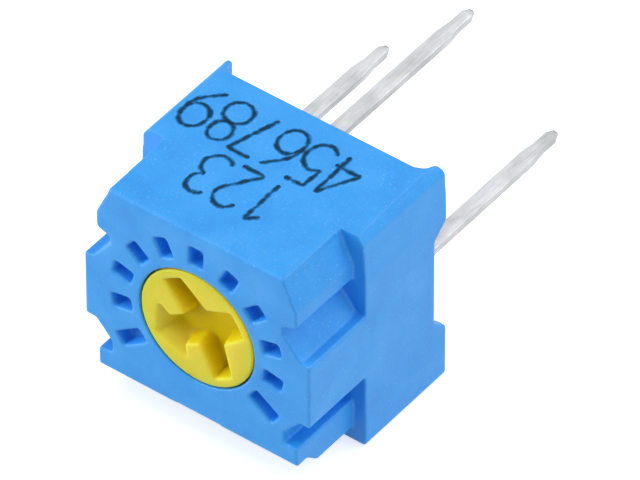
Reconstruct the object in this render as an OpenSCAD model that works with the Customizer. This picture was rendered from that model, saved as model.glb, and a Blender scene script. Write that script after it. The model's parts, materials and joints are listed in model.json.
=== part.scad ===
// Single-turn trimmer potentiometer with three board pins behind and a rotor in front.
//
// Frame: X to the right, Y from the rotor's face towards the pins, Z up.
// Y = 0 is the board seat, the plane of the four standoff tips. Z = 0 is the base side.
// The rotor's axis runs along Y.

/* [Housing] */
// Overall width
body_w = 6.7; // [6.6:0.05:6.8]
// Overall height at the open back
body_h = 6.8; // [6.75:0.05:6.9]
// Depth from the front face to the back rim
body_d = 4.92; // [4.85:0.01:5]
// Moulding draft: how much lower the top is at the front face than at the back
top_draft = 0.13; // [0.05:0.01:0.15]
// Height of the rotor's axis above the base side
axis_z = 3.63; // [3.59:0.01:3.66]

/* [Front block] */
// Depth of the narrower front block
front_d = 2.2; // [2.1:0.05:2.3]
// Half width of the front block's head and foot
front_hw = 2.97; // [2.9:0.01:3.0]
// Half width at the bottom of the side notches
notch_hw = 2.57; // [2.5:0.01:2.6]
// Gap under the front lip, above the base side
lip_z = 0.84; // [0.74:0.02:0.88]
// Gap under the front block behind its lip
belly_z = 0.47; // [0.4:0.01:0.5]

/* [Standoffs] */
// Height of the corner standoffs behind the back rim
standoff_h = 0.5; // [0.45:0.05:0.6]
// Width of a standoff's tip
standoff_tip_w = 0.3; // [0.28:0.02:0.4]
// Width of a standoff at its root
standoff_root_w = 0.62; // [0.55:0.01:0.7]

/* [Dial] */
// Number of dial marks
mark_count = 11; // [9:2:13]
// Angle from the first mark to the last
dial_deg = 250; // [240:1:255]
// Depth of the sunk marks
mark_depth = 0.18; // [0.1:0.02:0.2]
// Width of a mark
mark_w = 0.38; // [0.3:0.01:0.4]
// Radius at the inner end of the marks
mark_r = 2.01; // [2.0:0.01:2.06]
// Length of an ordinary mark
mark_len = 0.54; // [0.45:0.01:0.56]
// Length of the first and the last mark
end_mark_len = 0.82; // [0.6:0.01:0.84]

/* [Rotor] */
// Radius of the rotor's head
head_r = 1.67; // [1.6:0.01:1.67]
// Radial running clearance of the head in its bore
head_gap = 0.045; // [0.03:0.005:0.05]
// How far the head sits behind the front face
head_sink = 0.01; // [0:0.01:0.04]
// Where the arrow points, counter-clockwise from the right, seen from the front
pointer_deg = 212; // [211:1:216]
// Radius of the rotor's collar behind the front wall
collar_r = 1.92; // [1.88:0.01:1.93]
// Angle that the rotor turns through between its stops
travel_deg = 260; // [250:1:265]

/* [Driver recess] */
// Depth of the recess
recess_depth = 0.5; // [0.4:0.05:0.6]
// Half width of the arrow's stem
stem_hw = 0.41; // [0.36:0.01:0.44]
// Distance from the centre to the arrow's point
arrow_r = 1.45; // [1.38:0.01:1.46]
// Half width of the arrow's head across its barbs
barb_hw = 0.82; // [0.75:0.01:0.9]
// Distance from the centre to the ends of the two side arms
arm_r = 1.41; // [1.3:0.01:1.43]
// Half width of a side arm at its end
arm_hw = 0.31; // [0.27:0.01:0.33]
// Depth at the two edges of the arrow's tip, from which the floor slopes down at 45 degrees
tip_step = 0.08; // [0.05:0.01:0.12]

/* [Seal ring] */
// Radius of the ring's round section
ring_r = 0.18; // [0.16:0.01:0.18]

/* [Wiper] */
// Thickness of the spring sheet
wiper_t = 0.08; // [0.06:0.01:0.1]
// Width of one contact finger
finger_w = 0.26; // [0.2:0.01:0.3]
// Radius at which the fingers meet the track
track_mid_r = 1.78; // [1.75:0.01:1.8]

/* [Element] */
// Thickness of the ceramic substrate
substrate_t = 0.6; // [0.55:0.01:0.64]
// Thickness of the printed films
film_t = 0.03; // [0.02:0.005:0.04]
// Width of the resistive ring
track_w = 0.55; // [0.4:0.01:0.55]

/* [Terminals] */
// Grid pitch: terminals 1 and 3 stand two pitches apart, terminal 2 one pitch above them
pitch = 2.54; // [2.5:0.01:2.54]
// Height of terminals 1 and 3 above the base side
pin_z = 3.43; // [3.4:0.01:3.45]
// Width of a pin
pin_w = 0.42; // [0.38:0.01:0.5]
// Thickness of a pin
pin_t = 0.22; // [0.2:0.01:0.26]
// Length of a pin behind the board seat
pin_l = 5.42; // [5:0.01:5.6]

/* [Back seal] */
// How far the resin lies below the back rim
seal_sink = 0.12; // [0.05:0.01:0.2]

/* [Hidden] */
$fn = 96;
eps = 0.01;

// How far a cut runs past what it cuts
over = 1;

housing_blue = [0.16, 0.48, 0.86];
rotor_yellow = [0.87, 0.81, 0.28];
tin_grey = [0.82, 0.83, 0.85];

half_w = body_w / 2;
face_y = -(standoff_h + body_d);
step_y = face_y + front_d;
rim_y = -standoff_h;

// Fillets of the moulded outlines
arc_steps = 5;

// Levels of the front block's outline, from the foot to the head's sloped shoulder
foot_top_z = lip_z + 0.57;
lobe_foot_z = lip_z + 0.93;
lobe_z0 = lip_z + 1.46;
lobe_z1 = lip_z + 3.43;
lobe_head_z = lip_z + 4.08;
head_z = lip_z + 4.32;
head_side_z = lip_z + 4.95;
head_shoulder_z = lip_z + 5.72;

// Lip and belly under the front block, measured back from the front face
lip_d = 0.4;
belly_d = 0.82;

// Standoffs: how far they reach into the rear block's wall, and the heights of the lower pair (foot)
// and of the upper pair (head) at the root and at the tip
standoff_root = 0.3;
foot_root_h = 2.0;
foot_tip_h = 1.59;
head_root_h = 2.13;
head_tip_h = 1.7;

// Bore, ring groove, chamber and pocket, from the front to the back
bore_r = head_r + head_gap;
groove_y = face_y + 0.55;
groove_end_y = face_y + 0.98;
groove_r = head_r + 2 * ring_r + 0.04;
chamber_r = 2.35;
element_y = face_y + 2.8;
pocket_hw = 2.85;
pocket_z0 = 0.61;
pocket_z1 = 6.26;
pocket_r = 0.35;

// Relief in the shoulder for the solder of terminals 1 and 3
relief_x = 2.08;
relief_h = 0.9;
relief_d = 0.35;

// Rotor
collar_y = groove_end_y + 0.04;
collar_end_y = collar_y + 0.62;
boss_r = 1.15;
boss_y = collar_end_y + 0.45;
peg_r = 0.12;
peg_at = 0.78;
peg_l = 0.16;
head_chamfer = 0.03;

// Stops: the collar's lug meets the housing's rib at either end of the travel
lug_deg = 40;
lug_r = chamber_r - 0.07;
rib_r = collar_r + 0.05;
stop_play_deg = 0.6;
rib_deg = 360 - travel_deg - lug_deg - stop_play_deg;
rib_mid_deg = 270;
rib_end_y = collar_end_y - 0.03;

// Element
back_y = element_y + substrate_t;
substrate_gap = 0.05;
track_deg = dial_deg + 10;
rivet_head_r = 0.5;
rivet_head_h = 0.25;
rivet_r = 0.28;
rivet_hole_r = 0.3;
rivet_tail_y = back_y + pin_t + 0.08;
film_gap = 0.02;
notch_gap = 0.02;

// Arrow of the driver recess: length of its tip, and how far its slopes run past the point and barbs
tip_len = 0.6;
tip_over = 0.25;
barb_over = 0.08;

// Wiper
wiper_r = 1.08;
wiper_hole_r = 0.42;
contact_gap = 0.02;

// Terminals
strap_y = back_y;
strap_r = 0.5;
strap_bend_r = 0.1;
strap_run = 0.8;
foot_y = element_y - 0.12;
neck_from = 1.15;
neck_to = 0.7;
neck_hw = 0.15;
tip_hw = 0.07;
tip_bevel = 0.2;
tip_t = 0.13;
pin2_z = pin_z + pitch;
solder_h = 0.2;

function unit(v) = v / norm(v);

// Arc that rounds corner b between a and c with radius r; a radius of 0 keeps the corner.
function corner(a, b, c, r) =
    r == 0 ? [b] :
    let(
        to_a = unit(a - b),
        to_c = unit(c - b),
        half = acos(to_a * to_c) / 2,
        mid = b + unit(to_a + to_c) * r / sin(half),
        start = b + to_a * r / tan(half) - mid,
        end = b + to_c * r / tan(half) - mid,
        from = atan2(start[1], start[0]),
        turn = atan2(start[0] * end[1] - start[1] * end[0], start * end)
    )
    [for (i = [0 : arc_steps]) let(angle = from + turn * i / arc_steps) mid + r * [cos(angle), sin(angle)]];

// Closed outline from corners given as [x, y, radius].
function rounded(p) =
    let(n = len(p), at = [for (v = p) [v[0], v[1]]])
    [for (i = [0 : n - 1]) each corner(at[(i + n - 1) % n], at[i], at[(i + 1) % n], p[i][2])];

// The corners followed by their mirror images in reverse, for an outline with a vertical centre line.
function both_sides(p) = concat(p, [for (i = [len(p) - 1 : -1 : 0]) [-p[i][0], p[i][1], p[i][2]]]);

// The corners followed by their mirror images in reverse, for an outline with a level centre line.
function above_below(p) = concat(p, [for (i = [len(p) - 1 : -1 : 0]) [p[i][0], -p[i][1], p[i][2]]]);

// Ring sector between two radii and two angles.
function sector(r0, r1, a0, a1, n = 24) = concat(
    [for (i = [0 : n]) r1 * [cos(a0 + (a1 - a0) * i / n), sin(a0 + (a1 - a0) * i / n)]],
    [for (i = [n : -1 : 0]) r0 * [cos(a0 + (a1 - a0) * i / n), sin(a0 + (a1 - a0) * i / n)]]);

// Extrudes an outline drawn in X and Z from y0 to y1.
module along_y(y0, y1) {
    translate([0, y1, 0]) rotate([90, 0, 0]) linear_extrude(y1 - y0) children();
}

// Extrudes an outline drawn in Y and Z from x0 to x1.
module along_x(x0, x1) {
    translate([x0, 0, 0]) rotate([90, 0, 90]) linear_extrude(x1 - x0) children();
}

// Extrudes an outline drawn in X and Y from z0 to z1.
module along_z(z0, z1) {
    translate([0, 0, z0]) linear_extrude(z1 - z0) children();
}

// As along_y, with the outline drawn about the rotor's axis.
module about_axis(y0, y1) {
    along_y(y0, y1) translate([0, axis_z]) children();
}

// Round bar on the rotor's axis.
module bar(r, y0, y1) {
    translate([0, y0, axis_z]) rotate([-90, 0, 0]) cylinder(h = y1 - y0, r = r);
}

// Revolves an outline drawn as radius and distance along Y about the rotor's axis.
module turned() {
    translate([0, 0, axis_z]) rotate([-90, 0, 0]) rotate_extrude() children();
}

module mirrored_x() {
    children();
    mirror([1, 0, 0]) children();
}

// ---- housing ----

// Front block seen from the front: foot, side notch, middle lobe, side notch and head.
module front_outline() {
    polygon(rounded(both_sides([
        [front_hw, belly_z, 0.05],
        [front_hw, foot_top_z - 0.02, 0.05],
        [notch_hw, foot_top_z, 0.04],
        [notch_hw, lobe_foot_z, 0.08],
        [half_w - 0.3, lobe_z0 - 0.01, 0.08],
        [half_w, lobe_z0, 0.05],
        [half_w, lobe_z1, 0.05],
        [half_w - 0.26, lobe_z1 + 0.01, 0.08],
        [notch_hw, lobe_head_z, 0.08],
        [notch_hw, head_z, 0.05],
        [front_hw, head_z + 0.13, 0.12],
        [front_hw, head_side_z, 0.12],
        [front_hw - 0.36, head_shoulder_z, 0.15],
        [front_hw - 0.42, body_h + over, 0]])));
}

// Rear block seen from the front.
module rear_outline() {
    polygon(rounded(both_sides([
        [half_w, 0, 0.18],
        [half_w, body_h - 1.5, 0.3],
        [half_w - 0.08, body_h - 0.3, 0.1],
        [half_w - 0.32, body_h, 0.14],
        [half_w - 0.6, body_h + over, 0]])));
}

// Side view of both blocks: drafted top, rounded top edges, lip and belly below.
module side_outline() {
    polygon(rounded([
        [face_y, lip_z, 0.04],
        [face_y + lip_d, lip_z, 0.05],
        [face_y + belly_d, belly_z, 0.05],
        [step_y, belly_z, 0],
        [step_y, 0, 0.12],
        [rim_y, 0, 0],
        [rim_y, body_h, 0.1],
        [face_y, body_h - top_draft, 0.1]]));
}

// Side view of the standoffs: one at the top, one at the bottom, each with a sloped flank.
module standoff_side() {
    root_y = rim_y - standoff_root;
    polygon(rounded([
        [root_y, 0, 0],
        [0, 0, 0.04],
        [0, foot_tip_h, 0.12],
        [rim_y, foot_root_h, 0.08],
        [root_y, foot_root_h, 0]]));
    polygon(rounded([
        [root_y, body_h - head_root_h, 0],
        [rim_y, body_h - head_root_h, 0.08],
        [0, body_h - head_tip_h, 0.12],
        [0, body_h - 0.1, 0.25],
        [root_y, body_h - 0.01, 0]]));
}

// Plan of one standoff: flush outside, with a hollow flank inside.
module standoff_plan() {
    root_y = rim_y - standoff_root;
    polygon(rounded([
        [half_w, root_y, 0],
        [half_w, 0, 0.1],
        [half_w - standoff_tip_w, 0, 0.08],
        [half_w - standoff_tip_w - 0.08, rim_y + 0.16, 0.2],
        [half_w - standoff_root_w, rim_y, 0],
        [half_w - standoff_root_w, root_y, 0]]));
}

module standoffs() {
    intersection() {
        along_x(-half_w - over, half_w + over) standoff_side();
        mirrored_x() along_z(-over, body_h + over) standoff_plan();
        along_y(rim_y - over, over) rear_outline();
    }
}

// Sunk dial marks, evenly spaced about the top; the first and the last are longer.
module dial_marks() {
    for (i = [0 : mark_count - 1]) {
        at_end = i == 0 || i == mark_count - 1;
        length = at_end ? end_mark_len : mark_len;
        about_axis(face_y - eps, face_y + mark_depth)
            rotate(90 - dial_deg / 2 + i * dial_deg / (mark_count - 1))
                translate([mark_r, -mark_w / 2])
                    square([length, mark_w]);
    }
}

// Pocket outline at the open back, less a gap all round.
module pocket_outline(gap = 0) {
    w = pocket_hw - gap;
    polygon(rounded(both_sides([
        [w, pocket_z0 + gap, pocket_r],
        [w, pocket_z1 - gap, pocket_r]])));
}

module hollow() {
    bar(bore_r, face_y - over, groove_y + eps);
    bar(groove_r, groove_y, groove_end_y + eps);
    difference() {
        bar(chamber_r, groove_end_y, element_y + eps);
        about_axis(groove_end_y - eps, rib_end_y)
            polygon(sector(rib_r, chamber_r + over, rib_mid_deg - rib_deg / 2, rib_mid_deg + rib_deg / 2));
    }
    along_y(element_y, rim_y + over) pocket_outline();
    mirrored_x()
        translate([relief_x, element_y - relief_d, pin_z - relief_h / 2])
            cube([pocket_hw - relief_x, relief_d + eps, relief_h]);
}

module housing() {
    color(housing_blue) difference() {
        union() {
            intersection() {
                union() {
                    along_y(face_y - over, step_y + eps) front_outline();
                    along_y(step_y, rim_y + over) rear_outline();
                }
                along_x(-half_w - over, half_w + over) side_outline();
            }
            standoffs();
        }
        hollow();
        dial_marks();
    }
}

// ---- rotor ----

// Cross slots for a driver, drawn with the arrow's point on +X. The side arms widen towards the
// tail, and the tail narrows towards its end.
module recess_outline() {
    polygon(rounded(above_below([
        [arrow_r, 0.02, 0],
        [arrow_r - tip_len, barb_hw, 0.06],
        [arrow_r - 0.74, stem_hw, 0.05],
        [arm_hw - 0.11, stem_hw, 0.05],
        [arm_hw, arm_r, 0.06],
        [-arm_hw, arm_r, 0.06],
        [-2 * arm_hw, stem_hw + 0.06, 0.08],
        [-arm_r, stem_hw - 0.05, 0.08]])));
}

// Plastic left under the two edges of the arrow's tip, with the arrow's point on +X.
module tip_slopes() {
    for (side = [0, 1]) mirror([0, 0, side]) translate([arrow_r, 0, 0])
        rotate([0, -atan2(tip_len, barb_hw), 0]) translate([0, 0, -tip_over])
            linear_extrude(norm([tip_len, barb_hw]) + tip_over + barb_over)
                polygon([[tip_over, tip_step], [0, tip_step], [tip_step - over, over], [tip_over, over]]);
}

module driver_recess() {
    head_y = face_y + head_sink;
    difference() {
        about_axis(head_y - over, head_y + recess_depth) rotate(pointer_deg) recess_outline();
        translate([0, head_y, axis_z]) rotate([0, -pointer_deg, 0]) tip_slopes();
    }
}

module rotor() {
    head_y = face_y + head_sink;
    color(rotor_yellow) difference() {
        union() {
            turned() polygon([
                [0, head_y],
                [head_r - head_chamfer, head_y],
                [head_r, head_y + head_chamfer],
                [head_r, collar_y],
                [collar_r, collar_y],
                [collar_r, collar_end_y],
                [boss_r, collar_end_y],
                [boss_r, boss_y],
                [0, boss_y]]);
            about_axis(collar_y, collar_end_y - 0.05) rotate(pointer_deg)
                polygon(sector(collar_r - 0.1, lug_r, -lug_deg / 2, lug_deg / 2));
            about_axis(boss_y - eps, boss_y + peg_l) rotate(pointer_deg + 90)
                for (side = [-1, 1]) translate([side * peg_at, 0]) circle(r = peg_r);
        }
        driver_recess();
    }
}

// ---- sealing ring ----

module o_ring() {
    color([0.25, 0.22, 0.2]) turned()
        translate([head_r + ring_r + 0.01, groove_end_y - ring_r - 0.02]) circle(r = ring_r, $fn = 32);
}

// ---- wiper ----

// Side view of one outer finger: radius from the axis against Y.
module outer_finger_side() {
    contact_r = 0.12;
    contact_y = element_y - film_t - contact_gap - contact_r;
    polygon(rounded([
        [0.85, boss_y, 0],
        [1.16, boss_y, 0.1],
        [track_mid_r, contact_y - contact_r, 0.05],
        [track_mid_r + 0.05, contact_y, 0],
        [track_mid_r - 0.05, contact_y, 0],
        [1.12, boss_y + wiper_t, 0.1],
        [0.85, boss_y + wiper_t, 0]]));
    translate([track_mid_r, contact_y]) circle(r = contact_r, $fn = 24);
}

// Side view of the centre finger, which leans onto the collector button.
module centre_finger_side() {
    contact_r = 0.08;
    contact_y = element_y - rivet_head_h - contact_gap - contact_r;
    polygon(rounded([
        [-0.7, boss_y, 0],
        [-0.45, boss_y, 0.05],
        [0, contact_y - contact_r, 0],
        [0, contact_y, 0],
        [-0.47, boss_y + wiper_t, 0.05],
        [-0.7, boss_y + wiper_t, 0]]));
    translate([0, contact_y]) circle(r = contact_r, $fn = 24);
}

// Places a finger's side view at an angle about the rotor's axis.
module finger(angle) {
    translate([0, 0, axis_z]) rotate([0, -angle, 0]) translate([0, 0, -finger_w / 2])
        linear_extrude(finger_w) children();
}

module wiper() {
    color([0.8, 0.76, 0.62]) {
        difference() {
            bar(wiper_r, boss_y, boss_y + wiper_t);
            bar(wiper_hole_r, boss_y - over, boss_y + over);
            about_axis(boss_y - over, boss_y + over) rotate(pointer_deg + 90)
                for (side = [-1, 1]) translate([side * peg_at, 0]) circle(r = peg_r + eps);
        }
        for (lean = [-11, 11]) finger(pointer_deg + lean) outer_finger_side();
        finger(pointer_deg) centre_finger_side();
    }
}

// ---- element ----

module terminal_notches(gap) {
    mirrored_x()
        translate([pitch - pin_w / 2 - gap, element_y - over, pin_z - pin_t / 2 - gap])
            cube([pocket_hw, substrate_t + 2 * over, pin_t + 2 * gap]);
}

module substrate() {
    color([0.93, 0.92, 0.88]) difference() {
        along_y(element_y, back_y) pocket_outline(substrate_gap);
        bar(rivet_hole_r, element_y - over, back_y + over);
        terminal_notches(notch_gap);
    }
}

module track_ring(y0, y1) {
    r0 = track_mid_r - track_w / 2;
    about_axis(y0, y1)
        polygon(sector(r0, r0 + track_w, 90 - track_deg / 2, 90 + track_deg / 2, 72));
}

module resistive_track() {
    color([0.12, 0.12, 0.13]) track_ring(element_y - film_t, element_y);
}

// Conductor from the right-hand end of the track out to terminal 3.
module end_pad() {
    drop = pin_z - axis_z;
    color([0.78, 0.76, 0.7]) difference() {
        intersection() {
            about_axis(element_y - film_t, element_y) {
                polygon(rounded([
                    [1.0, -1.1, 0.05],
                    [1.5, -1.6, 0.2],
                    [2.1, -1.0, 0.2],
                    [pocket_hw - 0.15, drop - 0.38, 0.1],
                    [pocket_hw - 0.15, drop + 0.38, 0.1],
                    [relief_x + 0.05, drop + 0.38, 0.05],
                    [relief_x, drop - 0.3, 0.1]]));
            }
            union() {
                bar(chamber_r - 0.04, element_y - over, element_y + over);
                translate([relief_x, element_y - over, pin_z - relief_h / 2 + film_gap])
                    cube([pocket_hw - relief_x, 2 * over, relief_h - 2 * film_gap]);
            }
        }
        track_ring(element_y - over, element_y + over);
        terminal_notches(notch_gap);
    }
}

module end_pad_right() {
    end_pad();
}

module end_pad_left() {
    mirror([1, 0, 0]) end_pad();
}

module collector_button() {
    color([0.85, 0.7, 0.35]) union() {
        bar(rivet_head_r, element_y - rivet_head_h, element_y);
        bar(rivet_r, element_y - eps, rivet_tail_y);
    }
}

// ---- terminals ----

// Plan of a pin's free end about its own centre line, from y0 to the tip.
module pin_plan(y0) {
    polygon(rounded(both_sides([
        [pin_w / 2, y0, 0],
        [pin_w / 2, pin_l - neck_from, 0.6],
        [neck_hw, pin_l - neck_to, 0.6],
        [neck_hw, pin_l - tip_bevel, 0.06],
        [tip_hw, pin_l, 0.03]])));
}

// Side view of a pin's free end about its own centre line, from y0 to the tip.
module pin_side(y0) {
    polygon(rounded(above_below([
        [y0, pin_t / 2, 0],
        [pin_l - tip_bevel, pin_t / 2, 0.1],
        [pin_l, tip_t / 2, 0.02]])));
}

// Straight pin from y0 to the tip, centred on x and z.
module pin(x, z, y0) {
    translate([x, 0, z]) intersection() {
        along_z(-over, over) pin_plan(y0);
        along_x(-over, over) pin_side(y0);
    }
}

module terminal_1() {
    color(tin_grey) pin(-pitch, pin_z, foot_y);
}

module terminal_3() {
    color(tin_grey) pin(pitch, pin_z, foot_y);
}

// Strap behind the substrate from the collector button up to the pin, then a bend into the pin.
module terminal_2() {
    bend_y = strap_y + strap_run;
    color(tin_grey) {
        difference() {
            union() {
                along_x(-pin_w / 2, pin_w / 2) polygon(rounded([
                    [strap_y, axis_z, 0],
                    [strap_y + pin_t, axis_z, 0],
                    [strap_y + pin_t, pin2_z - pin_t / 2, strap_bend_r],
                    [bend_y, pin2_z - pin_t / 2, 0],
                    [bend_y, pin2_z + pin_t / 2, 0],
                    [strap_y, pin2_z + pin_t / 2, strap_bend_r + pin_t]]));
                bar(strap_r, strap_y, strap_y + pin_t);
            }
            bar(rivet_r, strap_y - over, strap_y + over);
        }
        pin(0, pin2_z, bend_y);
    }
}

// ---- solder ----

// Solder round the front end of terminal 1 or 3.
module foot_solder(x) {
    color([0.72, 0.73, 0.75]) difference() {
        translate([x, element_y - film_t, pin_z]) rotate([90, 0, 0])
            cylinder(h = solder_h, r1 = 0.3, r2 = 0.27);
        translate([x - pin_w / 2, foot_y, pin_z - pin_t / 2]) cube([pin_w, over, pin_t]);
    }
}

module solder_1() {
    foot_solder(-pitch);
}

module solder_3() {
    foot_solder(pitch);
}

// Solder over the collector button's tail on the strap.
module solder_2() {
    y0 = strap_y + pin_t;
    color([0.72, 0.73, 0.75]) difference() {
        translate([0, y0, axis_z]) rotate([-90, 0, 0]) cylinder(h = solder_h, r1 = 0.44, r2 = 0.3);
        bar(rivet_r, y0 - over, rivet_tail_y);
    }
}

// ---- back seal ----

module back_seal() {
    seal_y = rim_y - seal_sink;
    color([0.1, 0.3, 0.6]) difference() {
        along_y(back_y, seal_y) pocket_outline();
        terminal_1();
        terminal_2();
        terminal_3();
        solder_2();
        bar(rivet_r, back_y - over, rivet_tail_y);
    }
}

housing();
rotor();
o_ring();
wiper();
substrate();
resistive_track();
end_pad_left();
end_pad_right();
collector_button();
terminal_1();
terminal_2();
terminal_3();
solder_1();
solder_2();
solder_3();
back_seal();
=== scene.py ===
"""Finishes, print and studio for a small blue trimmer potentiometer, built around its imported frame.

All lengths are in metres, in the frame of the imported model: X to the right, Y from the rotor's face
towards the pins, Z up from the base side.
"""

import json
import logging
import math
from dataclasses import dataclass, field
from enum import Enum
from typing import Any, Sequence

import bmesh
import bpy
import numpy as np
from mathutils import Matrix, Vector
from mathutils.kdtree import KDTree


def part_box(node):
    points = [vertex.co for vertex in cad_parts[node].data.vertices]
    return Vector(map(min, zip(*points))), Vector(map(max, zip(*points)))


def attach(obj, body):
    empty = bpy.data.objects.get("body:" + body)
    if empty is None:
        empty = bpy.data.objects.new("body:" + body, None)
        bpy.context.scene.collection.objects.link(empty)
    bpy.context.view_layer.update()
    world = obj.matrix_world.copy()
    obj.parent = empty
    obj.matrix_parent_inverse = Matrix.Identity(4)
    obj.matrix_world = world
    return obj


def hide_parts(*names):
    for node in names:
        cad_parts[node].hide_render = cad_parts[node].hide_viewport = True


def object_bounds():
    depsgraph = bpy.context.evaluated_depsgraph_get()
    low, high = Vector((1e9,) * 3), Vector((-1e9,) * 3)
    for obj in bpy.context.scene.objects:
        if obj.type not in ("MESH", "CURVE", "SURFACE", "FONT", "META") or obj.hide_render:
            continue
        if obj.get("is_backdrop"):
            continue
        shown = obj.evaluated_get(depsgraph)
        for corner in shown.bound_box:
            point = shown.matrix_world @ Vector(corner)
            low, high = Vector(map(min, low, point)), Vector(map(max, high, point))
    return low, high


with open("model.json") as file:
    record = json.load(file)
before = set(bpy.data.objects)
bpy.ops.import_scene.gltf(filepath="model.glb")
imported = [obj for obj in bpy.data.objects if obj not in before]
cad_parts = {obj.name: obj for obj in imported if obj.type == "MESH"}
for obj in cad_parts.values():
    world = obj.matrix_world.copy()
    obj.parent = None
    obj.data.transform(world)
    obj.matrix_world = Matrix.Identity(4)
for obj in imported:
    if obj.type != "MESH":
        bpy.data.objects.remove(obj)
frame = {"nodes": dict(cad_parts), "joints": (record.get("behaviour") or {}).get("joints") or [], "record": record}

MM = 0.001
WELD = 0.0006 * MM
PINS = (1, 2, 3)
RGB = tuple[float, float, float]
Path = list[tuple[float, float]]
LOG = logging.getLogger("trimmer")


class Body(str, Enum):
    """The two bodies that the pieces ride on."""

    CASING = "casing"
    ROTOR = "rotor"


class Slot(str, Enum):
    """The record's material slots."""

    BLUE_PLASTIC = "blue_plastic"
    YELLOW_PLASTIC = "yellow_plastic"
    SEAL_RUBBER = "seal_rubber"
    SPRING_METAL = "spring_metal"
    ALUMINA = "alumina"
    CERMET = "cermet"
    SILVER_FILM = "silver_film"
    CONTACT_METAL = "contact_metal"
    TINNED_METAL = "tinned_metal"
    SOLDER = "solder"
    SEALING_RESIN = "sealing_resin"


def linear(red: int, green: int, blue: int) -> RGB:
    """Scene-linear colour of an 8-bit display colour.

    Args:
        red: Red from 0 to 255.
        green: Green from 0 to 255.
        blue: Blue from 0 to 255.

    Returns:
        The three linear values.
    """
    share = np.array([red, green, blue]) / 255.0
    curved = ((share + 0.055) / 1.055) ** 2.4
    return tuple(float(v) for v in np.where(share <= 0.04045, share / 12.92, curved))


# ---------------------------------------------------------------- materials


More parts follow.
